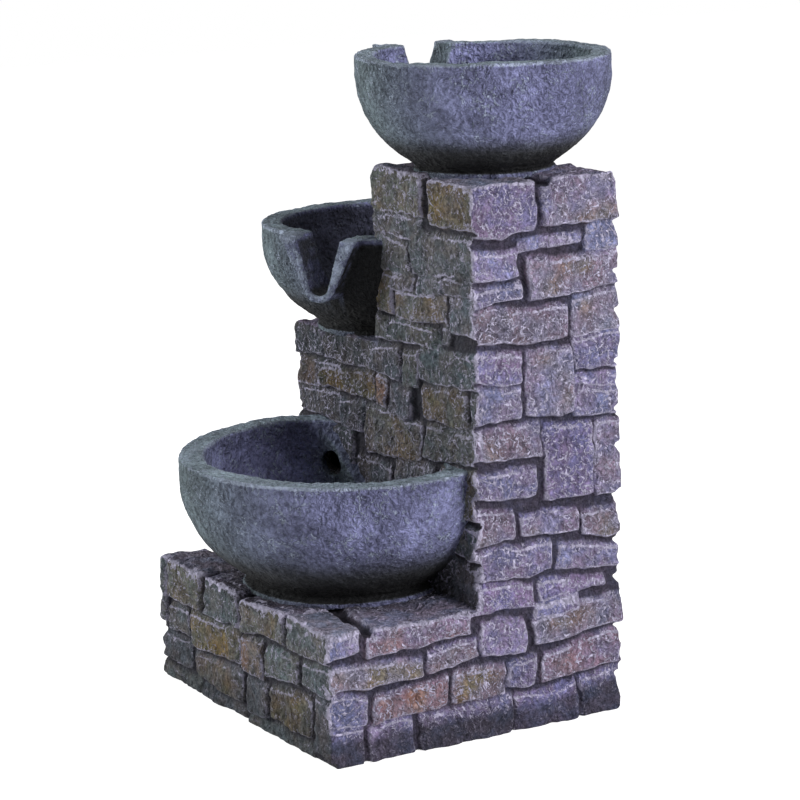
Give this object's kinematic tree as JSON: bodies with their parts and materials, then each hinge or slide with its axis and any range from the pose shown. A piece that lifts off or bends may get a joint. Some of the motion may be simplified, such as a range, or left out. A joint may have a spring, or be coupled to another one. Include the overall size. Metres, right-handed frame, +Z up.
{
  "type": "tabletop fountain",
  "caption": "Tabletop cascade fountain: dry-stone columns carry stepped bowls that pour one into the next, fed by a hidden pump, a riser hose and a return hole.",
  "frame": {"origin": "on the table under the middle of the whole outline", "axes": "+Z up, -Y towards the front where the lower bowl is, +X towards the tall column"},
  "size_m": [0.2175, 0.2084, 0.327],
  "materials": {
    "cast_stone": "matte",
    "bowl_stone": "matte",
    "raw_resin": "matte",
    "plate_plastic": "matte",
    "door_plastic": "matte",
    "pump_plastic": "satin",
    "dial_plastic": "satin",
    "impeller_plastic": "satin",
    "potting_resin": "gloss",
    "black_rubber": "matte",
    "foam": "matte",
    "hose_silicone": "satin",
    "steel": "satin",
    "core_steel": "satin",
    "copper": "satin",
    "magnet_ferrite": "matte",
    "shaft_ceramic": "polished"
  },
  "bodies": {
    "fountain": {"stone_body": "cast_stone", "lower_bowl": "bowl_stone", "middle_bowl": "bowl_stone", "top_bowl": "bowl_stone", "chamber_floor": "raw_resin", "bottom_plate": "plate_plastic", "pump_housing": "pump_plastic", "volute_cover": "pump_plastic", "intake_cover": "pump_plastic", "fitting_nut": "pump_plastic", "outlet_fitting": "pump_plastic", "coil_bobbin": "pump_plastic", "pump_potting": "potting_resin", "rubber_feet": "black_rubber", "cable_grommet": "black_rubber", "fitting_washers": "black_rubber", "shaft_bushes": "black_rubber", "volute_seal": "black_rubber", "suction_cups": "black_rubber", "filter_sponge": "foam", "riser_hose": "hose_silicone", "plate_screws": "steel", "hose_clips": "steel", "stator_core": "core_steel", "stator_winding": "copper", "rotor_shaft": "shaft_ceramic"},
    "rotor": {"rotor_magnet": "magnet_ferrite", "impeller": "impeller_plastic"},
    "flow_dial": {"flow_dial": "dial_plastic"},
    "rear_door": {"rear_door": "door_plastic", "door_gasket": "foam"}
  },
  "joints": [
    {"name": "rotor_spin", "type": "hinge", "parent": "fountain", "child": "rotor", "pos_m": [0.04725, 0.03425, 0.097], "axis": [0, 1, 0], "continuous": true},
    {"name": "dial_turn", "type": "hinge", "parent": "fountain", "child": "flow_dial", "pos_m": [0.04725, 0.06055, 0.097], "axis": [0, 1, 0], "range_deg": [0, 45]},
    {"name": "door_pull", "type": "slide", "parent": "fountain", "child": "rear_door", "axis": [0, 1, 0], "range_m": [0, 0.06]}
  ]
}
